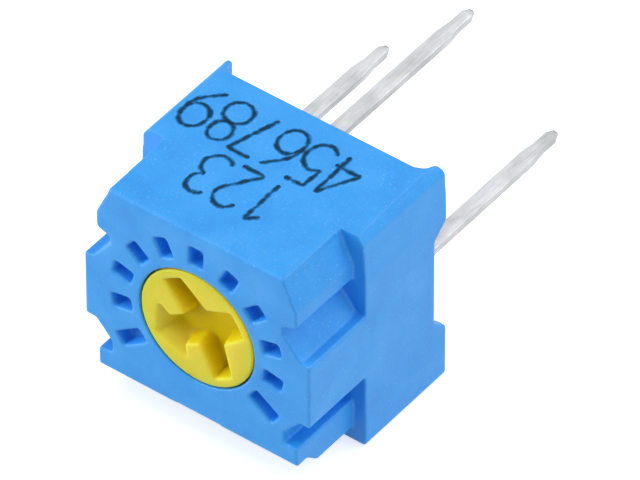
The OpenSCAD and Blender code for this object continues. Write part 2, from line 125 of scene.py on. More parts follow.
class Graph:
    """A material's node tree with short calls for the nodes that the finishes share."""

    def __init__(self, name: str) -> None:
        """Starts an empty tree with one shader on its output.

        Args:
            name: The material's name.
        """
        self.material = bpy.data.materials.new(name)
        self.material.use_nodes = True
        self.tree = self.material.node_tree
        self.tree.nodes.clear()
        self.output = self.node("ShaderNodeOutputMaterial")
        self.shader = self.node("ShaderNodeBsdfPrincipled")
        self.link(self.shader, "BSDF", self.output, "Surface")
        self.place = self.node("ShaderNodeTexCoord")

    def node(self, kind: str, **values: Any) -> bpy.types.Node:
        """Adds a node.

        Args:
            kind: The node's type.
            **values: Socket values by the socket's name, with spaces as underscores.

        Returns:
            The new node.
        """
        made = self.tree.nodes.new(kind)
        for key, value in values.items():
            made.inputs[key.replace("_", " ")].default_value = value
        return made

    def link(self, a: bpy.types.Node, out: str | int, b: bpy.types.Node, into: str | int) -> None:
        """Joins one node's output to another's input."""
        self.tree.links.new(a.outputs[out], b.inputs[into])

    def noise(self, grain: float, detail: float = 2.0, stretch: Sequence[float] = (1, 1, 1),
              offset: Sequence[float] = (0, 0, 0)) -> bpy.types.Node:
        """Adds a noise in object space.

        Args:
            grain: Size of one feature, in metres.
            detail: Octaves of finer noise.
            stretch: How much longer the features are along each axis.
            offset: Shift of the pattern, in features.

        Returns:
            The noise node, whose Fac lies about 0.5.
        """
        mapping = self.node("ShaderNodeMapping")
        mapping.inputs["Scale"].default_value = [1.0 / (grain * s) for s in stretch]
        mapping.inputs["Location"].default_value = offset
        noise = self.node("ShaderNodeTexNoise", Scale=1.0, Detail=detail, Roughness=0.55)
        self.link(self.place, "Object", mapping, "Vector")
        self.link(mapping, "Vector", noise, "Vector")
        return noise

    def ramp(self, source: bpy.types.Node, stops: Sequence[tuple[float, RGB]],
             out: str | int = "Fac") -> bpy.types.Node:
        """Adds a colour ramp on a node's output.

        Args:
            source: The node that drives the ramp.
            stops: Positions from 0 to 1 with their linear colours.
            out: The source's output.

        Returns:
            The ramp node.
        """
        ramp = self.node("ShaderNodeValToRGB")
        elements = ramp.color_ramp.elements
        while len(elements) < len(stops):
            elements.new(0.5)
        for element, (position, colour) in zip(elements, stops):
            element.position = position
            element.color = (*colour, 1.0)
        self.link(source, out, ramp, "Fac")
        return ramp

    def blend(self, below: bpy.types.Node, above: bpy.types.Node, way: str = "MULTIPLY") -> bpy.types.Node:
        """Blends two colours.

        Args:
            below: The node of the first colour.
            above: The node of the colour laid over it.
            way: The kind of blend.

        Returns:
            The mix node, whose colour is its last output.
        """
        mix = self.node("ShaderNodeMix")
        mix.data_type, mix.blend_type = "RGBA", way
        mix.inputs["Factor"].default_value = 1.0
        self.tree.links.new(self.colour_of(below), mix.inputs[6])
        self.tree.links.new(self.colour_of(above), mix.inputs[7])
        return mix

    @staticmethod
    def colour_of(node: bpy.types.Node) -> bpy.types.NodeSocket:
        """A ramp's or a mix node's colour output."""
        return node.outputs[2] if node.bl_idname == "ShaderNodeMix" else node.outputs["Color"]

    def calc(self, operation: str, *inputs: tuple[bpy.types.Node, str | int] | float) -> bpy.types.Node:
        """Adds a calculation.

        Args:
            operation: What it does.
            *inputs: For each of its inputs in turn, a node with its output, or a number.

        Returns:
            The node, whose result is its first output.
        """
        made = self.node("ShaderNodeMath")
        made.operation = operation
        for place, given in enumerate(inputs):
            if isinstance(given, tuple):
                self.link(*given, made, place)
            else:
                made.inputs[place].default_value = given
        return made

    def remap(self, source: bpy.types.Node, ends: tuple[float, float], low: float = 0.0,
              high: float = 1.0, out: str | int = "Fac") -> bpy.types.Node:
        """Maps a node's output evenly from one range to another, and holds it at the ends.

        Args:
            source: The node.
            ends: The source's lower and upper end.
            low: The result at the lower end.
            high: The result at the upper end.
            out: The source's output.

        Returns:
            The node, whose output is Result.
        """
        spread = self.node("ShaderNodeMapRange", From_Min=ends[0], From_Max=ends[1],
                           To_Min=low, To_Max=high)
        self.link(source, out, spread, "Value")
        return spread

    def paint(self, colour: bpy.types.Node) -> None:
        """Gives the shader a ramp's or a mix node's colour."""
        self.tree.links.new(self.colour_of(colour), self.shader.inputs["Base Color"])

    def fix(self, **values: Any) -> None:
        """Sets sockets of the shader that are the same all over, with spaces as underscores."""
        for key, value in values.items():
            self.shader.inputs[key.replace("_", " ")].default_value = value

    def span(self, source: bpy.types.Node, low: float, high: float, into: str,
             out: str | int = "Fac", ends: tuple[float, float] = (0.3, 0.7)) -> None:
        """Drives one of the shader's sockets from low to high with a node's output.

        Args:
            source: The node that drives the socket.
            low: The socket's value where the source is at or under its lower end.
            high: The socket's value where the source is at or over its upper end.
            into: The shader's socket.
            out: The source's output.
            ends: The source's lower and upper end.
        """
        self.link(self.remap(source, ends, low, high, out), "Result", self.shader, into)

    def bump(self, layers: Sequence[tuple[bpy.types.Node, float]]) -> None:
        """Stacks bumps on the shader's normal.

        Args:
            layers: Noise nodes with the height of each one's relief, in metres.
        """
        below = None
        for source, height in layers:
            bump = self.node("ShaderNodeBump", Strength=1.0, Distance=height)
            self.link(source, "Fac", bump, "Height")
            if below:
                self.link(below, "Normal", bump, "Normal")
            below = bump
        self.link(below, "Normal", self.shader, "Normal")


def mixed(a: RGB, b: RGB, share: float) -> RGB:
    """The colour that lies a share of the way from a to b."""
    return tuple(x + (y - x) * share for x, y in zip(a, b))


@dataclass(frozen=True)
class MouldedPlastic:
    """Satin thermoplastic straight from the mould: fine sparked grain and faint flow clouds."""

    name: str
    colour: RGB
    deep: RGB
    light: RGB
    roughness: float = 0.46
    grain: float = 0.045 * MM
    cloud: float = 1.1 * MM
    grain_relief: float = 0.004 * MM
    cloud_relief: float = 0.003 * MM
    speck: RGB = (0.84, 0.89, 0.94)
    dust: float = 0.05 * MM
    dust_glow: RGB = (0.12, 0.12, 0.08)
    # Painted shade: a range of depth in Y, the tint that darkens the colour towards a recess's floor, and the
    # specular level there.
    depths: tuple[float, float] | None = None
    recess_shade_tint: RGB = (0.86, 0.75, 0.25)
    depth_shine: float = 0.1
    milky: float = 0.0
    reach: RGB = (0.6 * MM, 0.33 * MM, 0.04 * MM)

    def material(self) -> bpy.types.Material:
        """Makes the finish's material.

        Returns:
            The material.
        """
        graph = Graph(self.name)
        cloud = graph.noise(self.cloud, detail=3.0)
        fine = graph.noise(self.grain, detail=2.0, offset=(3.1, 1.7, 5.3))
        tint = graph.ramp(cloud, [(0.3, mixed(self.colour, self.deep, 0.5)), (0.5, self.colour),
                                  (0.72, mixed(self.colour, self.light, 0.6))])
        speck = graph.ramp(fine, [(0.25, self.speck), (0.6, (1.0, 1.0, 1.0))])
        dust = graph.ramp(graph.noise(self.dust, detail=1.0, offset=(9.2, 4.4, 6.1)),
                          [(0.66, (0.0, 0.0, 0.0)), (0.76, self.dust_glow)])
        tinted = graph.blend(graph.blend(tint, speck), dust, "ADD")
        # Painted shade: the colour darkens and turns more orange with depth in the recess.
        if self.depths:
            tinted = graph.blend(tinted, self.painted_recess_shade(graph))
        graph.paint(tinted)
        graph.span(fine, self.roughness - 0.05, self.roughness + 0.07, "Roughness")
        graph.fix(IOR=1.5, Subsurface_Weight=self.milky, Subsurface_Radius=self.reach,
                  Subsurface_Scale=1.0)
        graph.bump([(cloud, self.cloud_relief), (fine, self.grain_relief)])
        return graph.material

    def painted_recess_shade(self, graph: Graph) -> bpy.types.Node:
        """Paints shade into the plastic with depth in Y: darker and more orange towards the floor of a narrow
        recess, where shade falls, and duller there, with a lower specular level.

        Args:
            graph: The material's tree.

        Returns:
            The ramp of the painted shade.
        """
        split = graph.node("ShaderNodeSeparateXYZ")
        graph.link(graph.place, "Object", split, "Vector")
        graph.span(split, 0.5, self.depth_shine, "Specular IOR Level", out="Y", ends=self.depths)
        depth = graph.remap(split, self.depths, out="Y")
        return graph.ramp(depth, [(0.0, (1.0, 1.0, 1.0)), (1.0, self.recess_shade_tint)], out="Result")


@dataclass(frozen=True)
class PlatedMetal:
    """Metal with a dull plating: streaks along the strip, soft patches and a light satin gloss."""

    name: str
    colour: RGB
    patch: RGB
    roughness: float = 0.36
    streak: float = 0.05 * MM
    streak_length: float = 14.0
    cloud: float = 0.42 * MM
    relief: float = 0.004 * MM
    metallic: float = 1.0
    dirt: RGB = (0.94, 0.93, 0.91)

    def material(self) -> bpy.types.Material:
        """Makes the finish's material.

        Returns:
            The material.
        """
        graph = Graph(self.name)
        streaks = graph.noise(self.streak, detail=2.0, stretch=(1, self.streak_length, 1))
        clouds = graph.noise(self.cloud, detail=4.0, stretch=(1, 2.2, 1), offset=(7.3, 2.9, 4.1))
        tint = graph.ramp(clouds, [(0.38, self.colour), (0.66, self.patch)])
        line = graph.ramp(streaks, [(0.3, self.dirt), (0.6, (1.0, 1.0, 1.0))])
        tinted = graph.blend(tint, line)
        graph.paint(tinted)
        graph.fix(Metallic=self.metallic)
        graph.span(clouds, self.roughness - 0.06, self.roughness + 0.14, "Roughness")
        graph.bump([(clouds, self.relief), (streaks, self.relief * 0.25)])
        return graph.material


@dataclass(frozen=True)
class Fired:
    """Fired ceramic or film: matt, with a powdery grain."""

    name: str
    colour: RGB
    fleck: RGB
    roughness: float = 0.7
    grain: float = 0.03 * MM
    relief: float = 0.002 * MM
    metallic: float = 0.0

    def material(self) -> bpy.types.Material:
        """Makes the finish's material.

        Returns:
            The material.
        """
        graph = Graph(self.name)
        grain = graph.noise(self.grain, detail=4.0)
        tint = graph.ramp(grain, [(0.35, self.fleck), (0.6, self.colour)])
        graph.paint(tint)
        graph.fix(Metallic=self.metallic)
        graph.span(grain, self.roughness - 0.1, self.roughness + 0.1, "Roughness")
        graph.bump([(grain, self.relief)])
        return graph.material


@dataclass(frozen=True)
class CuredResin:
    """Cast epoxy: glossy and slightly clouded, with a wavy skin."""

    name: str
    colour: RGB
    cloudy: RGB
    roughness: float = 0.22
    cloud: float = 0.6 * MM
    relief: float = 0.012 * MM
    coat: float = 0.35
    coat_roughness: float = 0.08

    def material(self) -> bpy.types.Material:
        """Makes the finish's material.

        Returns:
            The material.
        """
        graph = Graph(self.name)
        cloud = graph.noise(self.cloud, detail=3.0)
        fine = graph.noise(self.cloud / 9, detail=2.0, offset=(2.2, 8.1, 0.7))
        tint = graph.ramp(cloud, [(0.35, self.colour), (0.68, self.cloudy)])
        graph.paint(tint)
        graph.span(fine, self.roughness, self.roughness + 0.12, "Roughness")
        graph.fix(Coat_Weight=self.coat, Coat_Roughness=self.coat_roughness)
        graph.bump([(cloud, self.relief), (fine, self.relief * 0.08)])
        return graph.material


@dataclass(frozen=True)
class PadInk:
    """Thin printed ink: dark in the middle of a stroke, feathered to a teal edge, a little blotchy.

    The map's V runs across a stroke, from 0 at one edge to 1 at the other.
    """

    name: str
    dark: RGB
    mid: RGB
    edge: RGB
    roughness: float = 0.8
    shine: float = 0.15
    blotch: float = 0.2 * MM
    unevenness: float = 0.42
    solid: float = 0.36
    relief: float = 0.002 * MM

    def material(self) -> bpy.types.Material:
        """Makes the finish's material.

        Returns:
            The material.
        """
        graph = Graph(self.name)
        blotch = graph.noise(self.blotch, detail=4.0)
        split = graph.node("ShaderNodeSeparateXYZ")
        graph.link(graph.place, "UV", split, "Vector")
        from_middle = graph.calc("ABSOLUTE", (graph.calc("SUBTRACT", (split, "Y"), 0.5), 0))
        uneven = graph.remap(blotch, (0.3, 0.7), -self.unevenness, self.unevenness)
        edge = graph.calc("MULTIPLY_ADD", (from_middle, 0), 2.0, (uneven, "Result"))
        tint = graph.ramp(edge, [(0.16, self.dark), (0.38, self.mid), (0.62, self.edge)], out=0)
        graph.paint(tint)
        graph.span(edge, 1.0, 0.0, "Alpha", out=0, ends=(self.solid, 1.0))
        graph.fix(Roughness=self.roughness, Specular_IOR_Level=self.shine)
        graph.bump([(blotch, self.relief)])
        return graph.material


@dataclass(frozen=True)
class Palette:
    """Every finish of the part."""

    casing: MouldedPlastic = MouldedPlastic(
        "blue_plastic", linear(48, 160, 243), linear(36, 144, 232), linear(70, 172, 250))
    # The rotor gets painted shade deep in its recess: darker and more orange towards the floor.
    rotor: MouldedPlastic = MouldedPlastic(
        "yellow_plastic", linear(232, 217, 18), linear(230, 211, 10), linear(240, 227, 38),
        roughness=0.42, cloud_relief=0.002 * MM, milky=0.9, speck=(0.94, 0.95, 0.97),
        dust_glow=(0.02, 0.02, 0.01), depths=(-5.32 * MM, -4.96 * MM))
    pins: PlatedMetal = PlatedMetal(
        "tinned_metal", linear(199, 201, 205), linear(184, 185, 187), roughness=0.6,
        relief=0.004 * MM, dirt=(0.88, 0.87, 0.85))
    spring: PlatedMetal = PlatedMetal(
        "spring_metal", linear(214, 200, 164), linear(190, 176, 140), roughness=0.28)
    contact: PlatedMetal = PlatedMetal(
        "contact_metal", linear(222, 190, 112), linear(196, 160, 84), roughness=0.25)
    solder: PlatedMetal = PlatedMetal(
        "solder", linear(200, 203, 208), linear(168, 170, 174), roughness=0.24, streak_length=1.0)
    alumina: Fired = Fired("alumina", linear(238, 236, 228), linear(222, 219, 208))
    cermet: Fired = Fired("cermet", linear(44, 44, 48), linear(30, 30, 33), roughness=0.6)
    film: Fired = Fired(
        "silver_film", linear(206, 202, 190), linear(180, 176, 164), roughness=0.42, metallic=0.8)
    rubber: Fired = Fired("seal_rubber", linear(96, 70, 58), linear(82, 58, 48), grain=0.05 * MM)
    resin: CuredResin = CuredResin("sealing_resin", linear(30, 84, 160), linear(46, 104, 182))
    ink: PadInk = PadInk("print_ink", linear(14, 54, 82), linear(20, 84, 124), linear(46, 130, 196))


# ---------------------------------------------------------------- meshes


def dress(piece: bpy.types.Object, material: bpy.types.Material) -> None:
    """Gives a piece one material in place of what it has."""
    piece.data.materials.clear()
    piece.data.materials.append(material)


def register(piece: bpy.types.Object, body: Body, slot: Slot, *nodes: str) -> bpy.types.Object:
    """Ties a new piece to its body and hides the nodes that it stands for.

    Args:
        piece: The new piece, whose place is in its mesh.
        body: The body that it moves with.
        slot: The record's slot that its finish comes from; not used.
        *nodes: CAD nodes that it replaces, if any.

    Returns:
        The piece.
    """
    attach(piece, body.value)
    if nodes:
        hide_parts(*nodes)
    return piece


def link_piece(name: str, mesh: bpy.types.Mesh) -> bpy.types.Object:
    """Links a mesh to the scene as a smooth piece.

    Args:
        name: The piece's name.
        mesh: Its mesh.

    Returns:
        The piece.
    """
    mesh.polygons.foreach_set("use_smooth", np.ones(len(mesh.polygons), bool))
    mesh.update()
    piece = bpy.data.objects.new(name, mesh)
    bpy.context.scene.collection.objects.link(piece)
    return piece


def new_piece(name: str, verts: np.ndarray, faces: np.ndarray,
              uv: np.ndarray | None = None) -> bpy.types.Object:
    """Makes a smooth mesh piece from whole arrays.

    Args:
        name: The piece's name.
        verts: Points, n by 3.
        faces: Quads, m by 4, as indices into the points.
        uv: One map point for each vertex, n by 2.

    Returns:
        The piece, linked to the scene.
    """
    mesh = bpy.data.meshes.new(name)
    mesh.from_pydata(verts.tolist(), [], faces.tolist())
    if uv is not None:
        layer = mesh.uv_layers.new(name="UVMap")
        loops = np.zeros(len(mesh.loops), np.int32)
        mesh.loops.foreach_get("vertex_index", loops)
        layer.data.foreach_set("uv", uv[loops].astype(np.float32).ravel())
    return link_piece(name, mesh)


def grid_faces(rows: int, columns: int, first: int = 0) -> np.ndarray:
    """Quads of a grid of points numbered row by row, where each row is a closed ring.

    Args:
        rows: Number of rows of points.
        columns: Number of points in a row.
        first: Number of the grid's first point.

    Returns:
        The quads, m by 4.
    """
    i, j = (a.ravel() for a in np.meshgrid(np.arange(rows - 1), np.arange(columns), indexing="ij"))
    here, below, beside = i * columns, (i + 1) * columns, (j + 1) % columns
    return first + np.stack([here + j, here + beside, below + beside, below + j], 1)


def points_of(mesh: bpy.types.Mesh, what: str = "co") -> np.ndarray:
    """Reads a mesh's vertices.

    Args:
        mesh: The mesh.
        what: "co" for their places, or "normal" for their normals.

    Returns:
        The values, n by 3.
    """
    values = np.zeros(len(mesh.vertices) * 3, np.float32)
    mesh.vertices.foreach_get(what, values)
    return values.reshape(-1, 3).astype(float)


def move_points(mesh: bpy.types.Mesh, points: np.ndarray) -> None:
    """Puts a mesh's vertices at new places, n by 3."""
    mesh.vertices.foreach_set("co", points.astype(np.float32).ravel())
    mesh.update()


def triangles_of(mesh: bpy.types.Mesh) -> tuple[np.ndarray, np.ndarray]:
    """Reads a CAD mesh's triangles.

    Args:
        mesh: The mesh, all of whose faces are triangles.

    Returns:
        The indices of their corners and their normals, both n by 3.
    """
    corners = np.zeros(len(mesh.polygons) * 3, np.int32)
    normals = np.zeros(len(mesh.polygons) * 3)
    mesh.polygons.foreach_get("vertices", corners)
    mesh.polygons.foreach_get("normal", normals)
    return corners.reshape(-1, 3), normals.reshape(-1, 3)


def merged_copy(node: str) -> bmesh.types.BMesh:
    """Copies a CAD node's mesh and merges its loose triangles.

    Args:
        node: The CAD node.

    Returns:
        The mesh, open for more work.
    """
    work = bmesh.new()
    work.from_mesh(frame["nodes"][node].data)
    bmesh.ops.remove_doubles(work, verts=work.verts, dist=WELD)
    return work


def closed_piece(work: bmesh.types.BMesh, name: str) -> bpy.types.Object:
    """Closes a mesh that was open for work and links it to the scene as a piece.

    Args:
        work: The open mesh.
        name: The piece's name.

    Returns:
        The piece.
    """
    mesh = bpy.data.meshes.new(name)
    work.to_mesh(mesh)
    work.free()
    return link_piece(name, mesh)


def depth_and_radius(node: str, points: np.ndarray) -> tuple[np.ndarray, np.ndarray]:
    """Measures points from a CAD node's front and from the rotor's axis.

    Args:
        node: The CAD node, whose lowest Y is its front.
        points: The points in millimetres, n by 3.

    Returns:
        Their depths behind the front and their distances from the axis.
    """
    axis = np.array(frame["joints"][0]["pos_m"]) / MM
    radius = np.hypot(points[:, 0] - axis[0], points[:, 2] - axis[2])
    return points[:, 1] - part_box(node)[0].y / MM, radius


@dataclass
class Softener:
    """Turns a sharp CAD solid into a moulded one: every edge and inner corner gets a small radius.

    The solid is skinned again on a fine grid, each point then moves a few times half way to the
    middle of its neighbours, which leaves flat faces flat, and the flats are thinned out. The work
    is done in millimetres, because the grid is finer than skinning allows in metres.
    """

    grid: float
    passes: int
    triangles: int = 180_000
    levels: int = 10

    def skinned(self, node: str, name: str) -> bpy.types.Object:
        """Copies a CAD node, merges its loose triangles, skins it finely and softens it.

        Args:
            node: The CAD node.
            name: The new piece's name.

        Returns:
            The piece in millimetres, linked to the scene.
        """
        work = merged_copy(node)
        bmesh.ops.scale(work, vec=(1 / MM,) * 3, verts=work.verts)
        piece = closed_piece(work, name)
        skin = piece.modifiers.new("skin", "REMESH")
        skin.mode = "VOXEL"
        skin.voxel_size = self.grid / MM
        skin.use_smooth_shade = True
        self.smooth(piece, self.passes)
        self.apply(piece)
        return piece

    def finish(self, piece: bpy.types.Object) -> None:
        """Thins out a skinned piece, shades it and puts it back in metres.

        Args:
            piece: The piece, in millimetres.
        """
        thin = piece.modifiers.new("thin", "DECIMATE")
        thin.ratio = min(1.0, self.triangles / (2 * len(piece.data.polygons)))
        piece.modifiers.new("shade", "WEIGHTED_NORMAL").mode = "FACE_AREA"
        self.apply(piece)
        piece.data.transform(Matrix.Scale(MM, 4))

    def soften_where(self, piece: bpy.types.Object, weights: np.ndarray, passes: int) -> None:
        """Softens some of a piece's points more.

        Args:
            piece: The piece.
            weights: How strongly each point is softened, from 0 to 1, rounded to even steps.
            passes: Number of passes.
        """
        steps = np.round(weights * self.levels).astype(int)
        group = piece.vertex_groups.new(name="soft")
        for step in range(1, self.levels + 1):
            group.add(np.flatnonzero(steps == step).tolist(), step / self.levels, "REPLACE")
        self.smooth(piece, passes).vertex_group = group.name
        self.apply(piece)
        piece.vertex_groups.clear()

    @staticmethod
    def smooth(piece: bpy.types.Object, passes: int) -> bpy.types.Modifier:
        """Adds a smoothing that moves each point half way to its neighbours' middle.

        Args:
            piece: The piece.
            passes: How many times each point moves.

        Returns:
            The modifier.
        """
        soften = piece.modifiers.new("soften", "SMOOTH")
        soften.factor = 0.5
        soften.iterations = passes
        return soften

    @staticmethod
    def apply(piece: bpy.types.Object) -> None:
        """Puts the result of a piece's modifiers in its mesh and takes them off.

        Args:
            piece: The piece.
        """
        name, old = piece.name, piece.data
        shown = piece.evaluated_get(bpy.context.evaluated_depsgraph_get())
        piece.data = bpy.data.meshes.new_from_object(shown)
        piece.modifiers.clear()
        bpy.data.meshes.remove(old)
        piece.data.name = name


@dataclass
class EdgeRounder:
    """Rounds the sharp edges of a copy of a CAD solid with a live bevel."""

    width: float
    segments: int = 3
    sharp_deg: float = 30.0
    flat_deg: float = 0.6

    def copy_of(self, node: str, name: str) -> bpy.types.Object:
        """Copies a CAD node, merges its loose triangles and rounds its sharp edges.

        Args:
            node: The CAD node.
            name: The new piece's name.

        Returns:
            The piece, linked to the scene.
        """
        work = merged_copy(node)
        bmesh.ops.dissolve_degenerate(work, dist=WELD, edges=work.edges)
        bmesh.ops.dissolve_limit(work, angle_limit=math.radians(self.flat_deg),
                                 verts=work.verts, edges=work.edges)
        piece = closed_piece(work, name)
        bevel = piece.modifiers.new("edges", "BEVEL")
        bevel.width = self.width
        bevel.segments = self.segments
        bevel.limit_method = "ANGLE"
        bevel.angle_limit = math.radians(self.sharp_deg)
        bevel.use_clamp_overlap = False
        bevel.harden_normals = True
        bevel.miter_outer = "MITER_ARC"
        return piece


# ---------------------------------------------------------------- the part's pieces


@dataclass
class Housing:
    """The blue moulded body with its notched front block, dial marks and standoffs."""

    skin: Softener = field(default_factory=lambda: Softener(grid=0.03 * MM, passes=9))
    mark_ring: tuple[float, float] = (1.93 * MM, 2.86 * MM)
    mark_depth: float = 0.18 * MM
    mark_gain: float = 2.2
    floor_slack: float = 1.1
    mouth_share: float = 0.15
    mark_passes: int = 12
    level: float = 0.999
    top_share: float = 0.05

    def build(self, finish: MouldedPlastic) -> bpy.types.Object:
        """Makes the housing.

        Args:
            finish: Its plastic.

        Returns:
            The piece.
        """
        piece = self.skin.skinned("housing", "moulded_housing")
        self.sink_marks(piece)
        self.skin.finish(piece)
        dress(piece, finish.material())
        return register(piece, Body.CASING, Slot.BLUE_PLASTIC, "housing")

    def sink_marks(self, piece: bpy.types.Object) -> None:
        """Sinks the dial marks deeper and rounds their floors.

        Each point of a mark, which is one in the marks' ring and less than floor_slack times mark_depth
        behind the face, goes mark_gain times as deep. The softening grows evenly from mouth_share at
        the face to full at mark_depth.

        Args:
            piece: The housing, in millimetres.
        """
        points = points_of(piece.data)
        depth, radius = depth_and_radius("housing", points)
        inner, outer = (edge / MM for edge in self.mark_ring)
        shallow = depth < self.mark_depth / MM * self.floor_slack
        marked = (radius > inner) & (radius < outer) & shallow
        points[marked, 1] += np.maximum(depth[marked], 0) * (self.mark_gain - 1)
        move_points(piece.data, points)
        share = np.clip(depth / (self.mark_depth / MM), self.mouth_share, 1)
        self.skin.soften_where(piece, share * marked, self.mark_passes)

    def top_plane(self) -> np.ndarray:
        """The top face as a plane z = a x + b y + c, fitted to the CAD vertices of that face.

        The face's triangles are those whose normal's Z is over level and whose first corner lies in
        the top_share of the housing's height.

        Returns:
            The three coefficients a, b and c.
        """
        mesh = frame["nodes"]["housing"].data
        points = points_of(mesh)
        corners, normals = triangles_of(mesh)
        first = corners[:, 0]
        low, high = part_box("housing")
        upward = normals[:, 2] > self.level
        near_top = points[first][:, 2] > high.z - self.top_share * (high.z - low.z)
        chosen = points[first[upward & near_top]]
        columns = np.column_stack([chosen[:, 0], chosen[:, 1], np.ones(len(chosen))])
        return np.linalg.lstsq(columns, chosen[:, 2], rcond=None)[0]


@dataclass
class Rotor:
    """The yellow rotor, whose driver recess has drafted walls and a well rounded mouth."""

    skin: Softener = field(default_factory=lambda: Softener(grid=0.018 * MM, passes=6))
    mouth_radius: float = 1.58 * MM
    recess_depth: float = 0.5 * MM
    floor_slack: float = 1.06
    face_slack: float = 0.004 * MM
    wall_slope: float = 0.2
    edge_steps: int = 24
    lip: float = 0.01 * MM
    lean: float = 0.05
    draft: float = 0.2
    draft_reach: float = 0.25 * MM
    mouth_depth: float = 0.3 * MM
    floor_share: float = 0.6
    passes: int = 60

    def build(self, finish: MouldedPlastic) -> bpy.types.Object:
        """Makes the rotor.

        Args:
            finish: Its plastic.

        Returns:
            The piece.
        """
        piece = self.skin.skinned("rotor", "moulded_rotor")
        self.ease_recess(piece)
        self.skin.finish(piece)
        dress(piece, finish.material())
        return register(piece, Body.ROTOR, Slot.YELLOW_PLASTIC, "rotor")

    def mouth_line(self) -> np.ndarray:
        """The recess's outline on the face, from the CAD model.

        Its edges are those of wall triangles, whose normal's Y is under wall_slope in size, with both
        ends within face_slack of the face. Each gives edge_steps points at even steps.

        Returns:
            Points across the axis, n by 2, in millimetres.
        """
        mesh = frame["nodes"]["rotor"].data
        points = points_of(mesh) / MM
        depth, radius = depth_and_radius("rotor", points)
        on_face = (radius < self.mouth_radius / MM) & (depth < self.face_slack / MM)
        corners, normals = triangles_of(mesh)
        walls = corners[np.abs(normals[:, 1]) < self.wall_slope]
        edges = np.concatenate([walls[:, [0, 1]], walls[:, [1, 2]], walls[:, [2, 0]]])
        ends = points[edges[on_face[edges].all(1)]][:, :, [0, 2]]
        steps = np.linspace(0, 1, self.edge_steps)[None, :, None]
        return (ends[:, None, 0] * (1 - steps) + ends[:, None, 1] * steps).reshape(-1, 2)

    def ease_recess(self, piece: bpy.types.Object) -> None:
        """Drafts the recess's walls and rounds its mouth and inner corners.

        A point at depth t over lip and at distance g from the mouth's outline moves away from the
        outline by draft * t * (1 - g / draft_reach). Its direction is that from the outline's nearest
        point, plus lean times its normal. The softening fades evenly from full at the face to
        floor_share at mouth_depth, and keeps that share down to the floor.

        Args:
            piece: The rotor, in millimetres.
        """
        points = points_of(piece.data)
        depth, radius = depth_and_radius("rotor", points)
        shallow = depth < self.recess_depth / MM * self.floor_slack
        in_recess = (radius < self.mouth_radius / MM) & shallow
        deep = np.flatnonzero(in_recess & (depth > self.lip / MM))
        outline = self.mouth_line()
        tree = KDTree(len(outline))
        for index, (x, z) in enumerate(outline):
            tree.insert((x, 0.0, z), index)
        tree.balance()
        near = np.array([tree.find((x, 0.0, z))[0] for x, z in points[deep][:, [0, 2]]])[:, [0, 2]]
        away = points[deep][:, [0, 2]] - near
        gap = np.linalg.norm(away, axis=1)
        away += points_of(piece.data, "normal")[deep][:, [0, 2]] * self.lean
        away /= np.linalg.norm(away, axis=1)[:, None] + 1e-9
        move = self.draft * depth[deep] * np.clip(1 - gap / (self.draft_reach / MM), 0, 1)
        points[deep, 0] += away[:, 0] * move
        points[deep, 2] += away[:, 1] * move
        move_points(piece.data, points)
        share = np.clip(1 - depth / (self.mouth_depth / MM), self.floor_share, 1)
        self.skin.soften_where(piece, share * in_recess, self.passes)


@dataclass
class Terminals:
    """The three tinned pins, each with edges rounded by stamping and plating."""

    edges: EdgeRounder = field(default_factory=lambda: EdgeRounder(width=0.024 * MM))

    def build(self, finish: PlatedMetal) -> list[bpy.types.Object]:
        """Makes the pins.

        Args:
            finish: Their plating.

        Returns:
            The pieces.
        """
        material = finish.material()
        pieces = []
        for number in PINS:
            node = f"terminal_{number}"
            piece = self.edges.copy_of(node, f"tinned_pin_{number}")
            dress(piece, material)
            pieces.append(register(piece, Body.CASING, Slot.TINNED_METAL, node))
        return pieces


